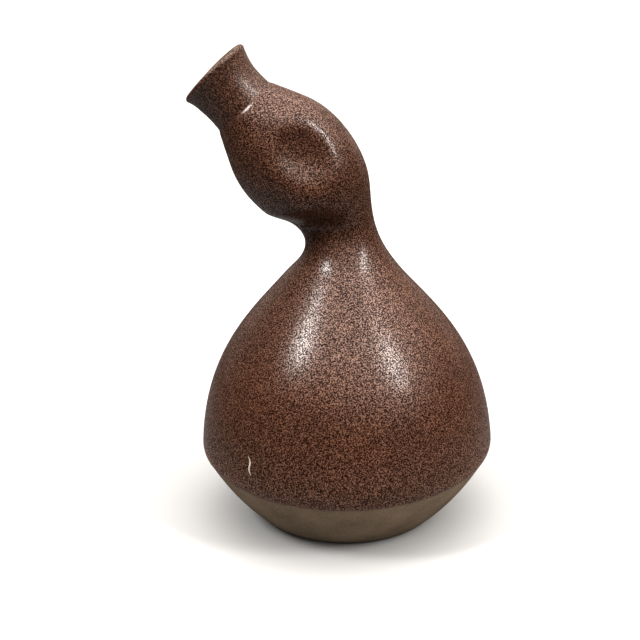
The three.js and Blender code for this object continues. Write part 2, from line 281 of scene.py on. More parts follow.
ledge_rows = bend((BEAK_SEAM, LEDGE_BEND, BEAK_START), LEDGE_ROWS)[1:]
side_turn = np.minimum(turn, 2 * np.pi - turn)
ledge_share = LEDGE_LEAST + (1 - LEDGE_LEAST) * np.exp(-(((side_turn - LEDGE_TURN) / LEDGE_SPREAD) ** 2))
wiped = np.interp(ledge_rows[:, 1], (BEAK_SEAM[1], BEAK_START[1]), (BEAK_SEAM[0], BEAK_START[0]))
ledge_rings = np.array([
    axis_ring(smooth + ledge_share * (radius - smooth), ahead)
    for smooth, (radius, ahead) in zip(wiped, ledge_rows)
])
print("ledge of", len(ledge_rings), "rings")

# %% [markdown]
# The collar narrows to a waist and flares to a thin lip that is half round. The
# mouth is the same wall seen from inside, down to the hole in the egg. A
# Solidify modifier would give an even wall, but this one gets thinner toward
# the lip, as thrown walls do, so the inside is a bent line of its own.

# %% Beak, lip and mouth
BEAK_WAIST, BEAK_FLARE = (11.75, 31.0), (11.8, 36.7)
LIP_RADIUS, LIP_AHEAD, LIP_THICKNESS = 13.95, 42.93, 3.0
MOUTH_RADIUS, HEAD_WALL = 8.6, 4.0
BEAK_ROWS, LIP_ROWS, MOUTH_ROWS = 28, 12, 16

lip_half = LIP_THICKNESS / 2
lip_start = np.array((LIP_RADIUS, LIP_AHEAD - lip_half))
beak_line = bend((BEAK_START, BEAK_WAIST, BEAK_FLARE, lip_start), FINE_STEPS)
beak_rows = walk(beak_line, BEAK_ROWS)[1:]
lip_turn = np.linspace(0.0, np.pi, LIP_ROWS + 1)[1:]
lip_rows = lip_start + lip_half * np.stack([np.cos(lip_turn) - 1, np.sin(lip_turn)], axis=1)

mouth_flare, mouth_waist = (MOUTH_RADIUS, BEAK_FLARE[1]), (MOUTH_RADIUS, BEAK_WAIST[1])
mouth_end = BEAK_START - (HEAD_WALL, 0.0)
mouth_line = bend((lip_rows[-1], mouth_flare, mouth_waist, mouth_end), SHORT_STEPS)
mouth_rows = walk(mouth_line, MOUTH_ROWS)[1:]
beak_rings = np.array([axis_ring(*row) for row in np.concatenate([beak_rows, lip_rows])])
mouth_rings = np.array([axis_ring(*row) for row in mouth_rows])
print("beak of", len(beak_rings), "rings, mouth of", len(mouth_rings))

# %% [markdown]
# Nobody's lip is perfectly flat. This one is lifted a little, tipped toward the
# crown, and its two sides are drawn forward between finger and thumb, so that
# it bows slightly when it is seen from the side. A lattice could do it with
# more setting up. Here a share that rises smoothly from 0 to 1 along the beak
# says how much each point moves, so the change fades out toward the head.

# %% Shape the lip by hand
LIP_LIFT, LIP_TIP, LIP_SIDES = 0.45, 0.28, 1.12
SHAPED_FROM, SHAPED_OVER = 34.0, 7.0  # distance ahead where the hand takes hold


def shape_lip(rings):
    beside = (rings[..., [0, 2]] - HEAD_PLACE) @ BESIDE
    ahead = (rings[..., [0, 2]] - HEAD_PLACE) @ AXIS
    share = np.clip((ahead - SHAPED_FROM) / SHAPED_OVER, 0.0, 1.0)
    share = share * share * (3 - 2 * share)
    forward = LIP_TIP * beside / LIP_RADIUS + LIP_SIDES * (rings[..., 1] / LIP_RADIUS) ** 2
    moved = np.multiply.outer(LIP_LIFT * share, BESIDE) + np.multiply.outer(forward * share, AXIS)
    rings[..., 0] += moved[..., 0]
    rings[..., 2] += moved[..., 1]


shape_lip(beak_rings)
shape_lip(mouth_rings)
print("highest point of the lip:", round(beak_rings[..., 2].max(), 2), "mm")

# %% [markdown]
# The neck is a short tube that bends forward. What the eye reads is its two
# edges, the throat in front and the nape behind, so these are drawn first, as
# bent lines on the middle plane. They start where the dome ends and finish at
# the two ends of the slanted cut in the head. One middle line with a radius
# would be shorter to write, but then neither edge could be placed by itself.

# %% Throat and nape
NECK_ROWS = 44
THROAT_BENDS = ((-19.33, 98.11), (-6.35, 104.01), (-13.82, 115.01), (-22.21, 114.36))
NAPE_BENDS = ((13.12, 105.48), (10.55, 111.59))

cut_ring = head_rings[0]
throat_end = cut_ring[ROUND // 2][[0, 2]]
nape_end = cut_ring[0][[0, 2]]
start_radius = dome_rows[-1][0]
throat_line = bend(((-start_radius, NECK_START), *THROAT_BENDS, throat_end), FINE_STEPS)
nape_line = bend(((start_radius, NECK_START), *NAPE_BENDS, nape_end), FINE_STEPS)
throat = walk(throat_line, NECK_ROWS)
nape = walk(nape_line, NECK_ROWS)
print("narrowest neck:", round(np.linalg.norm(nape - throat, axis=1).min(), 2), "mm from throat to nape")

# %% [markdown]
# Every ring of the neck spans from the throat to the nape. It starts as a
# circle on the dome and ends with the proportions of the head's cut. Between
# the two, a finger has pressed in both sides of the throat under the head, and
# that hollow keeps a deep shade. So the front half of each ring is drawn in,
# most of all a little above the neck's middle. A curve with a bevel profile
# would keep one profile all along.

# %% Rings of the neck
THROAT_PRESS, PRESS_AT, PRESS_SPREAD = 0.5, 0.7, 0.19
cut_squash = np.abs(cut_ring[:, 1]).max() / (np.linalg.norm(nape_end - throat_end) / 2)


def ring_between(front, back, squash, press):
    half = np.linalg.norm(back - front) / 2
    across = (back - front) / (2 * half)
    place = (front + back) / 2 + np.multiply.outer(half * COS, across)
    width = half * squash * (1.0 - press * (1.0 - COS) / 2)
    return np.stack([place[:, 0], width * SIN, place[:, 1]], axis=1)


up_neck = np.linspace(0.0, 1.0, NECK_ROWS + 1)
neck_squash = 1.0 + (cut_squash - 1.0) * up_neck
neck_press = THROAT_PRESS * np.exp(-(((up_neck - PRESS_AT) / PRESS_SPREAD) ** 2))
neck_rings = np.array([ring_between(*ends) for ends in zip(throat, nape, neck_squash, neck_press)])[1:-1]
print("neck of", len(neck_rings), "rings")

# %% [markdown]
# The damp sections are scored, wetted with slip and pressed together, and a
# wet finger wipes the joints smooth. In the script all rings become one skin.
# A joint is smoothed by moving each ring near it toward the mean of its
# neighbours, again and again, less and less with distance. A Smooth modifier
# would also wipe away the ledge and the lip.

# %% Join the skin
CUT_REACH, CUT_WIPES = 9, 16  # rings on either side, and strokes of the finger
NECK_REACH, NECK_WIPES = 6, 12

skin = np.concatenate([body_rings, neck_rings, head_rings, ledge_rings, beak_rings])
neck_row = len(body_rings)
cut_row = neck_row + len(neck_rings)
beak_row = cut_row + len(head_rings) + len(ledge_rings) - 1


def wipe_joint(rings, row, reach, times):
    away = np.abs(np.arange(len(rings)) - row) / reach
    weight = np.sqrt(np.clip(1.0 - away, 0.0, 1.0))[:, None, None]
    for _ in range(times):
        mean = rings.copy()
        mean[1:-1] = (rings[:-2] + 2 * rings[1:-1] + rings[2:]) / 4
        rings = rings + weight * (mean - rings)
    return rings


skin = wipe_joint(skin, cut_row, CUT_REACH, CUT_WIPES)
skin = wipe_joint(skin, neck_row, NECK_REACH, NECK_WIPES)
print("skin of", len(skin), "rings; neck, head and beak start at", neck_row, cut_row, beak_row)

# %% [markdown]
# The eyes are dents, pressed into both sides of the head by a thumb and a
# finger at once. Sculpting would do it, but not twice the same way. A dent
# whose depth falls off as a flattened bell has a thumb's soft rim and its
# broad floor, and it is longer along the head's axis, as the thumb lay. The
# clay moves straight in, from both sides.

# %% Press the eyes
EYE_ABOVE, EYE_AHEAD = 5.9, 1.8  # from the egg's middle, toward crown and beak
EYE_WIDE, EYE_LONG, EYE_DEPTH, EYE_FLATNESS = 8.0, 10.2, 5.0, 2.5

from_eye = skin[..., [0, 2]] - on_head(EYE_ABOVE, EYE_AHEAD)
away = np.hypot(from_eye @ BESIDE / EYE_WIDE, from_eye @ AXIS / EYE_LONG)
pressed = EYE_DEPTH * np.exp(-(away**EYE_FLATNESS))
pressed[:neck_row] = 0.0
skin[..., 1] -= np.sign(skin[..., 1]) * np.minimum(pressed, np.abs(skin[..., 1]))
print("eyes pressed in by up to", round(pressed.max(), 2), "mm")

# %% [markdown]
# Glaze is a coat about a quarter of a millimetre thick. Where it stops there is
# a real step down to the clay, and the step catches light, so it is modelled.
# The vase was held by its foot and dipped, not quite level: the line is a
# leaning plane with a slow wave. The normals of the joined skin are kept, so
# that no seam shows where one piece ends and the next begins.

# %% Step at the glaze line
GLAZE_HEIGHT, GLAZE_LEAN_X, GLAZE_LEAN_Y = 28.2, -0.0055, 0.0904
WAVE_HEIGHT, WAVES, WAVE_TURN = 0.3, 5, 1.0
GLAZE_THICKNESS, STEP_WIDTH = 0.25, 1.0
NEARLY_NOTHING = 1e-9  # keeps a point without a slope from dividing by zero


def facing(rings):
    round_step = np.roll(rings, -1, axis=1) - np.roll(rings, 1, axis=1)
    normal = np.cross(round_step, np.gradient(rings, axis=0))
    return normal / np.maximum(np.linalg.norm(normal, axis=2, keepdims=True), NEARLY_NOTHING)


wave = WAVE_HEIGHT * np.sin(WAVES * np.arctan2(skin[..., 1], skin[..., 0]) + WAVE_TURN)
line_height = GLAZE_HEIGHT + GLAZE_LEAN_X * skin[..., 0] + GLAZE_LEAN_Y * skin[..., 1] + wave
bare = np.clip(0.5 - (skin[..., 2] - line_height) / STEP_WIDTH, 0.0, 1.0)
bare[neck_row:] = 0.0
bare[:len(under_foot)] = 0.0
skin -= (GLAZE_THICKNESS * bare)[..., None] * facing(skin)
normals = facing(skin)
print("glaze line between", round(line_height.min(), 1), "and", round(line_height.max(), 1), "mm")

# %% [markdown]
# A finish in Blender is a tree of nodes. Wiring nodes one by one takes many
# lines, so a small helper adds a node, sets its values and links its sockets in
# one go. Three more helpers make the nodes that come up most: a sum, a change
# of range and a mix of two colours. The Mix node has several sockets of the
# same name, so its colour sockets are picked by their number.

# %% Node helpers
MIX_SHARE, MIX_FIRST, MIX_SECOND, MIX_RESULT = 0, 6, 7, 2


def nodes_of(tree):
    def add(kind, inputs=None, **settings):
        node = tree.nodes.new(kind)
        for key, value in settings.items():
            setattr(node, key, value)
        for key, value in (inputs or {}).items():
            if isinstance(value, bpy.types.NodeSocket):
                tree.links.new(value, node.inputs[key])
            else:
                node.inputs[key].default_value = value
        return node
    return add


def calc(add, operation, first, second=0.0):
    return add("ShaderNodeMath", {0: first, 1: second}, operation=operation).outputs[0]


def rescale(add, value, low, high, new_low=0.0, new_high=1.0, kind="LINEAR"):
    ends = {"Value": value, "From Min": low, "From Max": high, "To Min": new_low, "To Max": new_high}
    return add("ShaderNodeMapRange", ends, interpolation_type=kind).outputs["Result"]


def mix(add, share, first, second):
    ends = {MIX_SHARE: share, MIX_FIRST: first, MIX_SECOND: second}
    return add("ShaderNodeMix", ends, data_type="RGBA").outputs[MIX_RESULT]


print("node helpers ready")

# %% [markdown]
# Some effects belong to more than one finish, such as the speckle and the bare
# clay. The nodes could be copied into every finish, but then each change has to
# be made twice. So each effect becomes a node group with named sockets: made
# once, used wherever that stuff is seen, and changed in one place.

# %% Effect groups
FLOAT, COLOR = "NodeSocketFloat", "NodeSocketColor"


def effect_group(name, inputs, outputs):
    tree = bpy.data.node_groups.new(name, "ShaderNodeTree")
    for label, (kind, value) in inputs.items():
        tree.interface.new_socket(label, in_out="INPUT", socket_type=kind).default_value = value
    for label, kind in outputs.items():
        tree.interface.new_socket(label, in_out="OUTPUT", socket_type=kind)
    return tree, nodes_of(tree)


def grain(add, scale, detail):
    place = add("ShaderNodeTexCoord").outputs["Object"]
    return add("ShaderNodeTexNoise", {"Vector": place, "Scale": scale, "Detail": detail}).outputs["Fac"]


print("groups are trees of kind ShaderNodeTree")

# %% [markdown]
# The glaze is an iron brown in which fine tan crystals have grown, so that the
# eye sees dark and light specks half a millimetre apart. A photograph could be
# wrapped round the vase, but procedural noise in object space has no seams and
# runs on from piece to piece. The same noise gives the colour, the gloss (the
# tan crystals shine, the dark hollows do not) and a very fine relief. A second,
# slow noise lets the colour drift a little over the vase.

# %% Speckle effect
SPECK_SCALE, SPECK_DETAIL = 2200.0, 1.0
DARK_SPECK = (0.014, 0.0028, 0.0006, 1.0)
IRON_BROWN = (0.056, 0.018, 0.0068, 1.0)
TAN_SPECK = (0.195, 0.098, 0.06, 1.0)
DARK_UP_TO, BROWN_AT, TAN_FROM = 0.37, 0.5, 0.63
GLOSS_FROM, GLOSS_FULL = 0.36, 0.69
NOISE_LOW, NOISE_HIGH = 0.3, 0.7  # nearly all of a noise lies between these
DRIFT_SCALE, SLOW_DETAIL, DRIFT_DARK, DRIFT_PALE = 60.0, 3.0, 0.9, 1.1

SPECKLE, add = effect_group(
    "speckled glaze", {"Grain": (FLOAT, SPECK_SCALE)}, {"Color": COLOR, "Gloss": FLOAT, "Height": FLOAT},
)
specks = grain(add, add("NodeGroupInput").outputs["Grain"], SPECK_DETAIL)
dark_half = mix(add, rescale(add, specks, DARK_UP_TO, BROWN_AT), DARK_SPECK, IRON_BROWN)
speckled = mix(add, rescale(add, specks, BROWN_AT, TAN_FROM), dark_half, TAN_SPECK)
slow = grain(add, DRIFT_SCALE, SLOW_DETAIL)
drift = rescale(add, slow, NOISE_LOW, NOISE_HIGH, DRIFT_DARK, DRIFT_PALE)
shaded = add("ShaderNodeVectorMath", {0: speckled, "Scale": drift}, operation="SCALE").outputs["Vector"]
gloss = rescale(add, specks, GLOSS_FROM, GLOSS_FULL)
add("NodeGroupOutput", {"Color": shaded, "Gloss": gloss, "Height": specks})
print("speckle effect of", len(SPECKLE.nodes), "nodes")

# %% [markdown]
# Bare stoneware is matt and grey-brown, with fine dark and pale grains of grog,
# the crushed fired clay that potters mix in. Two noises do it: a fine one for
# the grains and a broad one for the flame's uneven touch. The tint is a socket
# of the group, because the clay inside the seams is a little darker.

# %% Bare clay effect
CLAY_TINT = (0.27, 0.205, 0.147, 1.0)
GROG_SCALE, GROG_DETAIL, FLAME_SCALE = 1500.0, 2.0, 90.0
CLAY_DARK, CLAY_PALE, CLAY_SMOOTH, CLAY_ROUGH = 0.68, 1.32, 0.8, 0.95

CLAY, add = effect_group(
    "bare clay", {"Tint": (COLOR, CLAY_TINT)}, {"Color": COLOR, "Roughness": FLOAT, "Height": FLOAT},
)
tint = add("NodeGroupInput").outputs["Tint"]
grog = grain(add, GROG_SCALE, GROG_DETAIL)
grog_and_flame = calc(add, "ADD", grog, grain(add, FLAME_SCALE, SLOW_DETAIL))
tone = rescale(add, grog_and_flame, 2 * NOISE_LOW, 2 * NOISE_HIGH, CLAY_DARK, CLAY_PALE)
clay_color = add("ShaderNodeVectorMath", {0: tint, "Scale": tone}, operation="SCALE").outputs["Vector"]
clay_rough = rescale(add, grog, 0.0, 1.0, CLAY_SMOOTH, CLAY_ROUGH)
add("NodeGroupOutput", {"Color": clay_color, "Roughness": clay_rough, "Height": grog})
print("clay effect of", len(CLAY.nodes), "nodes")

# %% [markdown]
# Two marks sit on the beak. Glaze pools in the corner of the ledge at its two
# crisp sides, so these are glossy all through. On the lip the glaze runs off
# while it is molten, and the clay shows through as a thin tan line, which is
# also a painted highlight for the light that the rounded crest catches. Both
# are found by the distance along the head's axis, so they follow the shape
# wherever the head points. Head and beak have finishes of their own, so the
# marks are a group too, and each finish tells it how glossy the dark hollows
# are.

# %% Marks on the beak
POOL_REACH, POOL_FROM, POOL_FULL = 0.9, 9.5, 12.0  # mm along the axis, and across it
# the tan line between these two is partly thin glaze, partly a painted highlight on the crest
PALE_CREST_FROM, PALE_CREST_TO = -0.5, 0.0  # mm ahead of the lip's crest: glaze thins, clay is bare


def ahead_of(add, direction, start):
    place = add("ShaderNodeTexCoord").outputs["Object"]
    ends = {0: place, 1: (direction[0], 0.0, direction[1])}
    along = add("ShaderNodeVectorMath", ends, operation="DOT_PRODUCT").outputs["Value"]
    return calc(add, "SUBTRACT", along, (HEAD_PLACE @ direction + start) * MM)


def across_beak(add):
    place = add("ShaderNodeTexCoord").outputs["Object"]
    return add("ShaderNodeSeparateXYZ", {"Vector": place}).outputs["Y"]


def pooled(add):
    middle = (BEAK_SEAM[1] + BEAK_START[1]) / 2
    distance = calc(add, "ABSOLUTE", ahead_of(add, AXIS, middle))
    pool = rescale(add, distance, 0.0, POOL_REACH * MM, 1.0, 0.0)
    side = rescale(add, calc(add, "ABSOLUTE", across_beak(add)), POOL_FROM * MM, POOL_FULL * MM)
    return calc(add, "MULTIPLY", pool, side)


# a tan band on the lip's crest: thin glaze, and a painted highlight
def lip_thin_glaze_and_highlight(add):
    ahead = ahead_of(add, AXIS - BESIDE * LIP_TIP / LIP_RADIUS, LIP_AHEAD)
    across = across_beak(add)
    drawn = calc(add, "MULTIPLY", calc(add, "MULTIPLY", across, across), LIP_SIDES / LIP_RADIUS**2 / MM)
    return rescale(add, calc(add, "SUBTRACT", ahead, drawn), PALE_CREST_FROM * MM, PALE_CREST_TO * MM)


MARKS, add = effect_group(
    "beak marks", {"Least Gloss": (FLOAT, 0.0)}, {"Gloss": FLOAT, "Break": FLOAT},
)
least = add("NodeGroupInput").outputs["Least Gloss"]
add("NodeGroupOutput", {"Gloss": calc(add, "MAXIMUM", pooled(add), least), "Break": lip_thin_glaze_and_highlight(add)})
print("beak marks of", len(MARKS.nodes), "nodes; glaze thins over", PALE_CREST_TO - PALE_CREST_FROM, "mm at the lip")

# %% [markdown]
# The glaze itself: the speckle below, a clear satin coat on top. A single shiny
# layer would grey the dark specks, because its shine covers everything. The
# Coat of the Principled shader takes the speckle's gloss as its weight, so only
# the crystals flash. The beak's glaze is drier but more even, so its shine is
# broader and lies on the hollows too. The same function makes it, with a coat
# roughness and a least gloss of its own.

# %% Glaze finish
SOFT_SHINE, COAT_IOR, COAT_SATIN, COAT_DRY = 0.12, 1.7, 0.29, 0.38
GLAZE_ROUGHNESS, SPECK_RELIEF = 0.6, 0.04
GLOSS_BETWEEN, GLOSS_ON_BEAK = 0.0, 0.36  # least gloss, that of the dark hollows
# tan of the lip's crest, partly thin glaze, partly a painted highlight
LIP_TAN_AND_HIGHLIGHT = (0.13, 0.082, 0.052, 1.0)


def finish(name):
    material = bpy.data.materials.new(name)
    material.use_nodes = True
    material.node_tree.nodes.clear()
    return material, nodes_of(material.node_tree)


def shade(add, sockets):
    shader = add("ShaderNodeBsdfPrincipled", sockets)
    add("ShaderNodeOutputMaterial", {"Surface": shader.outputs["BSDF"]})


def relief(add, height, depth):
    return add("ShaderNodeBump", {"Height": height, "Distance": depth * MM}).outputs["Normal"]


def glaze_finish(name, coat_roughness, least_gloss):
    material, add = finish(name)
    speckle = add("ShaderNodeGroup", node_tree=SPECKLE).outputs
    marks = add("ShaderNodeGroup", {"Least Gloss": least_gloss}, node_tree=MARKS).outputs
    shade(add, {
        # the lip's tan line, partly a painted highlight
        "Base Color": mix(add, marks["Break"], speckle["Color"], LIP_TAN_AND_HIGHLIGHT),
        "Roughness": GLAZE_ROUGHNESS,
        "Specular IOR Level": SOFT_SHINE,
        "Coat Weight": calc(add, "MAXIMUM", speckle["Gloss"], marks["Gloss"]),
        "Coat Roughness": coat_roughness,
        "Coat IOR": COAT_IOR,
        "Normal": relief(add, speckle["Height"], SPECK_RELIEF),
    })
    return material


GLAZE = glaze_finish("speckled glaze", COAT_SATIN, GLOSS_BETWEEN)
BEAK_GLAZE = glaze_finish("dry speckled glaze", COAT_DRY, GLOSS_ON_BEAK)
print("finishes:", GLAZE.name, "and", BEAK_GLAZE.name)

# %% [markdown]
# On bowl and dome the glaze ends. Toward the end it gets thin and so paler, and
# its last millimetre is a plain red-brown, too thin to grow crystals. The end
# itself is ragged. A painted mask would be sharp at one distance only. Here one
# height does all of it: the height above the leaning line, pushed up and down
# by a slow noise and by the specks themselves.

# %% Where the glaze ends
LINE_SOFTNESS, LINE_WANDER, LINE_SPECKS = 0.9, 0.6, 1.2  # mm
WANDER_SCALE = 120.0


def above_line(add, specks):
    place = add("ShaderNodeTexCoord").outputs["Object"]
    ends = {0: place, 1: (-GLAZE_LEAN_X, -GLAZE_LEAN_Y, 1.0)}
    height = add("ShaderNodeVectorMath", ends, operation="DOT_PRODUCT").outputs["Value"]
    low, high = -(GLAZE_HEIGHT + LINE_WANDER) * MM, -(GLAZE_HEIGHT - LINE_WANDER) * MM
    wander = rescale(add, grain(add, WANDER_SCALE, SLOW_DETAIL), NOISE_LOW, NOISE_HIGH, low, high)
    ragged = rescale(add, specks, 0.0, 1.0, -LINE_SPECKS * MM, LINE_SPECKS * MM)
    return calc(add, "ADD", calc(add, "ADD", height, wander), ragged)


print("the glaze line is", LINE_SOFTNESS, "mm soft")

# %% [markdown]
# A hair-thin scratch low on the belly, on the side to which the beak points,
# shows the pale body under the glaze. It could be cut into the mesh, but that
# takes very fine faces. Drawn in the finish as a short S, a straight drift with
# one turn of a sine wave, it stays sharp without extra geometry.

# %% Scratch in the glaze
SCRATCH_X, SCRATCH_DRIFT, SCRATCH_WAVE = -33.68, 0.98, 0.45
SCRATCH_TOP, SCRATCH_BOTTOM, SCRATCH_HALF = 39.8, 32.9, 0.3
PALE_SCRATCH = (0.62, 0.55, 0.48, 1.0)


def scratched(add):
    place = add("ShaderNodeTexCoord").outputs["Object"]
    part = add("ShaderNodeSeparateXYZ", {"Vector": place}).outputs
    share = rescale(add, part["Z"], SCRATCH_TOP * MM, SCRATCH_BOTTOM * MM)
    wave = calc(add, "SINE", calc(add, "MULTIPLY", share, 2 * math.pi))
    drift = calc(add, "ADD", calc(add, "MULTIPLY", share, SCRATCH_DRIFT * MM), SCRATCH_X * MM)
    middle = calc(add, "ADD", calc(add, "MULTIPLY", wave, SCRATCH_WAVE * MM), drift)
    aside = calc(add, "ABSOLUTE", calc(add, "SUBTRACT", part["X"], middle))
    inside = calc(add, "MULTIPLY", share, calc(add, "SUBTRACT", 1.0, share))
    width = calc(add, "MULTIPLY", calc(add, "SQRT", inside), 2 * SCRATCH_HALF * MM)
    line = calc(add, "LESS_THAN", aside, width)
    return calc(add, "MULTIPLY", line, calc(add, "LESS_THAN", part["Y"], 0.0))


print("scratch", round(SCRATCH_TOP - SCRATCH_BOTTOM, 1), "mm long")

# %% [markdown]
# Bowl and dome share one finish: clay below the line, glaze above. Two
# materials on separate faces would end in a jagged row of polygons. Here the
# mask blends colour, roughness and coat, so the line is as fine as the render.

# %% Dipped finish
RED_EDGE, RED_WIDTH, RED_SHARE = (0.08, 0.036, 0.022, 1.0), 1.2, 0.8
THIN_WIDTH, THIN_PALER = 6.0, 1.9
CLAY_ROUGHNESS = 0.9


def dipped_finish(name):
    material, add = finish(name)
    speckle = add("ShaderNodeGroup", node_tree=SPECKLE).outputs
    clay = add("ShaderNodeGroup", node_tree=CLAY).outputs
    height = above_line(add, speckle["Height"])
    glazed = rescale(add, height, -LINE_SOFTNESS / 2 * MM, LINE_SOFTNESS / 2 * MM)
    red = rescale(add, height, 0.0, RED_WIDTH * MM, RED_SHARE, 0.0)
    paler = rescale(add, height, 0.0, THIN_WIDTH * MM, THIN_PALER, 1.0)
    thin = add("ShaderNodeVectorMath", {0: speckle["Color"], "Scale": paler}, operation="SCALE")
    red_edged = mix(add, red, thin.outputs["Vector"], RED_EDGE)
    glaze_color = mix(add, scratched(add), red_edged, PALE_SCRATCH)
    shade(add, {
        "Base Color": mix(add, glazed, clay["Color"], glaze_color),
        "Roughness": rescale(add, glazed, 0.0, 1.0, CLAY_ROUGHNESS, GLAZE_ROUGHNESS),
        "Specular IOR Level": SOFT_SHINE,
        "Coat Weight": calc(add, "MULTIPLY", speckle["Gloss"], glazed),
        "Coat Roughness": COAT_SATIN,
        "Coat IOR": COAT_IOR,
        "Normal": relief(add, speckle["Height"], SPECK_RELIEF),
    })
    return material


DIPPED = dipped_finish("dipped stoneware")
print("finish:", DIPPED.name, "with", len(DIPPED.node_tree.nodes), "nodes")

# %% [markdown]
# Four rolled coils of soft clay are pressed into the seams from inside. They
# are right as they are in the CAD model, plain rings inside the wall, so they
# stay. They only get a better finish: the bare clay effect, darker, with the
# rough relief of clay that no sponge has reached.

# %% Coils in the seams
COIL_TINT = (0.2, 0.15, 0.11, 1.0)
COIL_RELIEF = 0.09

COIL, add = finish("luting clay")
coil_clay = add("ShaderNodeGroup", {"Tint": COIL_TINT}, node_tree=CLAY).outputs
shade(add, {
    "Base Color": coil_clay["Color"],
    "Roughness": coil_clay["Roughness"],
    "Normal": relief(add, coil_clay["Height"], COIL_RELIEF),
})
coils = [bpy.data.objects[name] for name in ("belly_coil", "neck_coil", "head_coil", "beak_coil")]
for coil in coils:
    for place in coil.material_slots:
        place.material = COIL
print("coils kept:", [coil.name for coil in coils])

# %% [markdown]
# A fired section has an outside, an inside and the rims where it meets its
# neighbours. Its mesh is woven from rings: four neighbouring points make a
# face, and the last ring may be closed back to the first. Blender could work
# out the shading by itself, but each piece would then shade its rims in its own
# way. With the normals of the joined skin, light runs across the seams.

# %% From rings to a mesh
def with_inside(rows, inside):
    return np.concatenate([skin[rows], inside]), np.concatenate([normals[rows], facing(inside)])


def woven(name, rings, ring_normals, closed):
    low = np.arange(len(rings) if closed else len(rings) - 1)[:, None] * ROUND
    high = (low + ROUND) % (len(rings) * ROUND)
    here = np.arange(ROUND)
    after = (here + 1) % ROUND
    faces = np.stack([low + here, low + after, high + after, high + here], axis=2).reshape(-1, 4)
    mesh = bpy.data.meshes.new(name)
    mesh.from_pydata((rings.reshape(-1, 3) * MM).tolist(), [], faces.tolist())
    mesh.polygons.foreach_set("use_smooth", [True] * len(mesh.polygons))
    mesh.normals_split_custom_set_from_vertices(ring_normals.reshape(-1, 3).tolist())
    return mesh


print("rings of", ROUND, "points give", ROUND, "faces from one ring to the next")

# %% [markdown]
# A woven section becomes a piece of the model: it rides on the one body, takes
# the place of its CAD solid and is told which material slot it fills. All five
# sections go the same way, so the steps are written once.

# %% From a mesh to a piece
def fired_piece(name, rings, ring_normals, closed, node, material):
    mesh = woven(name, rings, ring_normals, closed)
    mesh.materials.append(material)
    piece = bpy.data.objects.new(name, mesh)
    bpy.context.scene.collection.objects.link(piece)
    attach(piece, "root")
    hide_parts(node)
    print(name, "has", len(mesh.vertices), "points and", len(mesh.polygons), "faces")


print("pieces ride on body root")

# %% [markdown]
# The bowl: foot, floor and lower wall up to the belly edge. Inside, a flat
# floor turns up into the wall in one sweep, as the thumb leaves it. That curve
# is a guess, since the neck hides it, but it gives the wall its thickness. A
# Solidify modifier would copy the foot's bevel to the inside as well.

# %% Foot bowl
BODY_WALL, NECK_WALL = 4.5, 5.0
FLOOR_RADIUS, FLOOR_CORNER, FLOOR_HEIGHT = 22.0, 38.0, 6.0
RIM_RISE = 0.3  # the inside meets the belly seam this share of a wall higher
INSIDE_STEPS, FLOOR_ROWS, INSIDE_BOWL_ROWS = 80, 2, 24

inside_belly = BELLY + BODY_WALL * np.array((-1.0, RIM_RISE))
floor_edge = (FLOOR_RADIUS, FLOOR_HEIGHT)
inside_bowl = bend((floor_edge, (FLOOR_CORNER, FLOOR_HEIGHT), inside_belly), INSIDE_STEPS)
inside_floor = walk(np.array(((AXIS_GAP, FLOOR_HEIGHT), floor_edge)), FLOOR_ROWS)[:-1]
bowl_inside = turned(np.concatenate([inside_floor, walk(inside_bowl, INSIDE_BOWL_ROWS)])[::-1])
rings, ring_normals = with_inside(slice(0, belly_row + 1), bowl_inside)
fired_piece("fired_foot_bowl", rings, ring_normals, False, "foot_bowl", DIPPED)

# %% [markdown]
# The dome: from the belly edge over the shoulder to the start of the neck. Its
# inside follows the same bent line, one wall further in. The seam to the neck
# lies a few rings above the dome's own curve, inside the wiped joint, where
# the potter would have cut it.

# %% Belly dome
SEAM_RINGS, INSIDE_DOME_ROWS = 4, 40
seam_row = neck_row + SEAM_RINGS

inside_side = (DOME_SIDE[0] - BODY_WALL, DOME_SIDE[1])
inside_shoulder = (DOME_SHOULDER[0] - BODY_WALL, DOME_SHOULDER[1])
inside_neck = (NECK_SEAM[0] - NECK_WALL, NECK_SEAM[1])
inside_dome = bend((inside_belly, inside_side, inside_shoulder, inside_neck), FINE_STEPS)
dome_inside = turned(walk(inside_dome, INSIDE_DOME_ROWS)[::-1])
rings, ring_normals = with_inside(slice(belly_row, seam_row + 1), dome_inside)
fired_piece("fired_belly_dome", rings, ring_normals, True, "belly_dome", DIPPED)

# %% [markdown]
# The neck collar: the bent tube between dome and head. Its inside is the same
# set of rings drawn in toward their middles, every second one, since nobody
# looks down there closely. Drawing in works where a ring is nearly round.

# %% Neck collar
def drawn_in(rows, wall):
    middle = skin[rows].mean(axis=1, keepdims=True)
    out = skin[rows] - middle
    size = np.linalg.norm(out, axis=2, keepdims=True)
    return (middle + out * (1.0 - wall / size))[::-2]


neck_rows = slice(seam_row, cut_row + 1)
rings, ring_normals = with_inside(neck_rows, drawn_in(neck_rows, NECK_WALL))
fired_piece("fired_neck_collar", rings, ring_normals, True, "neck_collar", GLAZE)

# %% [markdown]
# The head shell: the egg with its two dents, from the slanted cut to the ledge
# that holds the beak. The dents go through to the inside as well, because a
# thumb pushes the wall in and does not carve it.

# %% Head shell
head_rows = slice(cut_row, beak_row + 1)
rings, ring_normals = with_inside(head_rows, drawn_in(head_rows, HEAD_WALL))
fired_piece("fired_head_shell", rings, ring_normals, True, "head_shell", GLAZE)

# %% [markdown]
# The beak spout: the flared collar, its half-round lip and the mouth inside,
# glazed all through, because the inside was glazed by pouring through it. All
# its rings are there already, so it only has to be woven.

# %% Beak spout
rings, ring_normals = with_inside(slice(beak_row, len(skin)), mouth_rings)
fired_piece("fired_beak_spout", rings, ring_normals, True, "beak_spout", BEAK_GLAZE)

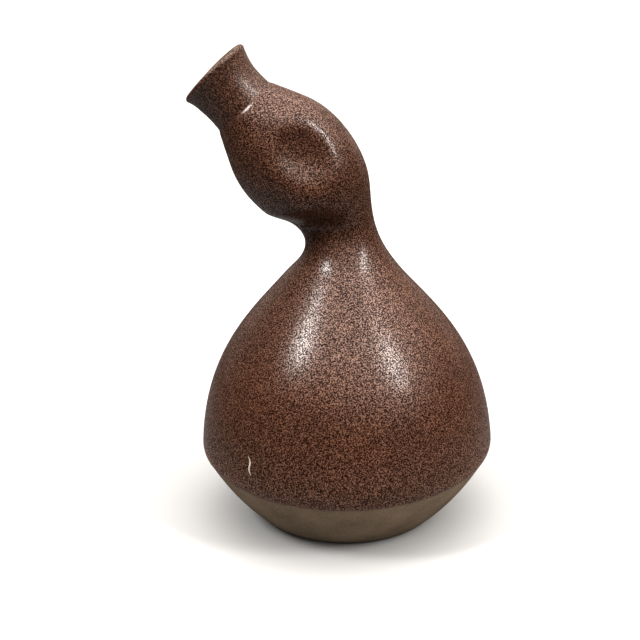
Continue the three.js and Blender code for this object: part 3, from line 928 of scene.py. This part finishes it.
# %% [markdown]
# The vase stands on a plain pale floor. A plane from Blender's Add menu would
# do, but it is square round the origin. Four corners make one that reaches
# farther behind the vase than in front of it.

# %% Floor
FLOOR_SIDE, FLOOR_FRONT, FLOOR_END = 6.0, -3.0, 9.0  # metres

floor_mesh = bpy.data.meshes.new("floor")
front_edge = [(-FLOOR_SIDE, FLOOR_FRONT, 0.0), (FLOOR_SIDE, FLOOR_FRONT, 0.0)]
far_edge = [(FLOOR_SIDE, FLOOR_END, 0.0), (-FLOOR_SIDE, FLOOR_END, 0.0)]
floor_mesh.from_pydata(front_edge + far_edge, [], [(0, 1, 2, 3)])
floor = bpy.data.objects.new("floor", floor_mesh)
bpy.context.scene.collection.objects.link(floor)
print("floor", 2 * FLOOR_SIDE, "m wide")

# %% [markdown]
# A wide white floor throws so much light upward that the chin loses its deep
# shade. A photographer would lay black cards round the vase, just out of view.
# The Light Path node does the same: the camera sees one pale floor, but the
# light that the floor sends on fades with the distance from the foot.

# %% Floor finish
FLOOR_SEEN, BOUNCE_NEAR, BOUNCE_FAR = 0.48, 0.24, 0.05
NEAR_TO, FAR_FROM = 0.1, 0.4  # metres from the foot's centre
FLOOR_ROUGHNESS, FLOOR_SHINE = 0.6, 0.2

floor_finish, add = finish("pale floor")
seen = add("ShaderNodeLightPath").outputs["Is Camera Ray"]
place = add("ShaderNodeTexCoord").outputs["Object"]
distance = add("ShaderNodeVectorMath", {0: place}, operation="LENGTH").outputs["Value"]
bounce = rescale(add, distance, NEAR_TO, FAR_FROM, BOUNCE_NEAR, BOUNCE_FAR)
floor_tone = rescale(add, seen, 0.0, 1.0, bounce, FLOOR_SEEN)
shade(add, {"Base Color": floor_tone, "Roughness": FLOOR_ROUGHNESS, "Specular IOR Level": FLOOR_SHINE})
floor_mesh.materials.append(floor_finish)
print("the floor sends on", BOUNCE_NEAR, "of its light near the foot and", BOUNCE_FAR, "far away")

# %% [markdown]
# Most of the light is a broad glow from above. It could be a big area light,
# but on a round satin body that mirrors as a hard-edged patch. A world whose
# strength rises softly toward the zenith has no edge. A second, weak glow low
# down behind the vase gives the rims their pale outline. To the camera the
# world is one pale backdrop, so that the floor seems to have no end.

# %% Overhead glow
GLOW_COLOR = (1.0, 0.97, 0.935, 1.0)
GLOW_UP, GLOW_FROM, GLOW_LEAST, GLOW_MOST = (0.2, -0.1, 0.97), 0.33, 0.03, 3.3
RIM_TOWARD, RIM_FROM, RIM_GLOW = (0.0, 1.0, 0.0), 0.1, 0.72
BACKDROP = 0.85

world = bpy.data.worlds.new("overhead glow")
world.use_nodes = True
world.node_tree.nodes.clear()
add = nodes_of(world.node_tree)
look = add("ShaderNodeTexCoord").outputs["Generated"]
upward = add("ShaderNodeVectorMath", {0: look, 1: GLOW_UP}, operation="DOT_PRODUCT").outputs["Value"]
behind = add("ShaderNodeVectorMath", {0: look, 1: RIM_TOWARD}, operation="DOT_PRODUCT").outputs["Value"]
overhead = rescale(add, upward, GLOW_FROM, 1.0, GLOW_LEAST, GLOW_MOST, "SMOOTHSTEP")
rim = rescale(add, behind, RIM_FROM, 1.0, 0.0, RIM_GLOW, "SMOOTHSTEP")
seen = add("ShaderNodeLightPath").outputs["Is Camera Ray"]
strength = rescale(add, seen, 0.0, 1.0, calc(add, "ADD", overhead, rim), BACKDROP)
glow = add("ShaderNodeBackground", {"Color": GLOW_COLOR, "Strength": strength})
add("ShaderNodeOutputWorld", {"Surface": glow.outputs["Background"]})
bpy.context.scene.world = world
print("glow from", GLOW_LEAST, "at the horizon to", GLOW_MOST, "overhead")

# %% [markdown]
# Two tall soft lights, one on each side, draw the two bright streaks on the
# dome, the crescent on the head and the shine on the beak. Where a light must
# stand follows from its mirror image: the direction of sight, reflected at the
# streak, points at the light. Each light is given by its turn from the front
# and its rise above the floor.

# %% Two soft lights
LIGHT_DISTANCE, LIGHT_AIM = 2.2, 0.08  # metres; the lights look at the belly's top


def stand_at(thing, right, above, back, place):
    matrix = Matrix.Identity(4)
    for column, vector in enumerate((right, above, back, place)):
        for row in range(3):
            matrix[row][column] = vector[row]
    thing.matrix_world = matrix
    bpy.context.scene.collection.objects.link(thing)


def soft_light(name, around, rise, width, height, power):
    around, rise = math.radians(around), math.radians(rise)
    level = np.array((math.sin(around), -math.cos(around), 0.0)) * math.cos(rise)
    back = level + (0.0, 0.0, math.sin(rise))
    side = np.cross((0.0, 0.0, 1.0), back) / math.cos(rise)
    light = bpy.data.lights.new(name, "AREA")
    light.shape = "RECTANGLE"
    light.size = width
    light.size_y = height
    light.energy = power
    place = back * LIGHT_DISTANCE + (0.0, 0.0, LIGHT_AIM)
    stand_at(bpy.data.objects.new(name, light), side, np.cross(back, side), back, place)
    print(name, "at", place.round(2).tolist())


soft_light("left soft light", around=-60.5, rise=49.0, width=0.42, height=0.6, power=27.0)
soft_light("right soft light", around=58.0, rise=40.5, width=0.34, height=0.8, power=22.5)

# %% [markdown]
# The camera looks down on the vase from the front, close enough for the foot to
# look smaller than the belly. Its place and angles were found by matching the
# foot, the belly edge and the neck of the photographed vase. A Track To
# constraint could aim it, but it can't tilt it. So the aim is kept as angles,
# as a photographer thinks of turning, nodding and tilting a camera.

# %% Camera
VIEW_TURN = math.radians(1.7)  # the vase is turned this little to the camera
CAMERA_BACK, CAMERA_HEIGHT = 453.25, 229.68  # mm
CAMERA_YAW = math.radians(-1.17) - VIEW_TURN
CAMERA_PITCH, CAMERA_ROLL = math.radians(18.72), math.radians(-1.2915)
SENSOR_WIDTH, LENS_LENGTH = 36.0, 72.0

ahead = math.cos(CAMERA_PITCH) * np.array((math.sin(CAMERA_YAW), math.cos(CAMERA_YAW), 0.0))
ahead = ahead - (0.0, 0.0, math.sin(CAMERA_PITCH))
level = np.array((math.cos(CAMERA_YAW), -math.sin(CAMERA_YAW), 0.0))
upright = np.cross(level, ahead)
right = math.cos(CAMERA_ROLL) * level + math.sin(CAMERA_ROLL) * upright
above = math.cos(CAMERA_ROLL) * upright - math.sin(CAMERA_ROLL) * level
stand = np.array((math.sin(VIEW_TURN), -math.cos(VIEW_TURN), 0.0)) * CAMERA_BACK + (0.0, 0.0, CAMERA_HEIGHT)

lens = bpy.data.cameras.new("camera")
lens.sensor_width = SENSOR_WIDTH
lens.lens = LENS_LENGTH
camera = bpy.data.objects.new("camera", lens)
stand_at(camera, right, above, -ahead, stand * MM)
bpy.context.scene.camera = camera
print("camera at", stand.round(1).tolist(), "mm")

# %% [markdown]
# A snapshot has more contrast than Blender's default film look. The contrast
# could be added afterward in the compositor. The plain Standard view with a
# gamma below one deepens the shadows in the same way and needs no nodes, and a
# little exposure brings the highlights back.

# %% Film look
EXPOSURE, GAMMA = 0.2, 0.8

view = bpy.context.scene.view_settings
view.view_transform = "Standard"
view.look = "None"
view.exposure = EXPOSURE
view.gamma = GAMMA
print("view:", view.view_transform, view.exposure, view.gamma)
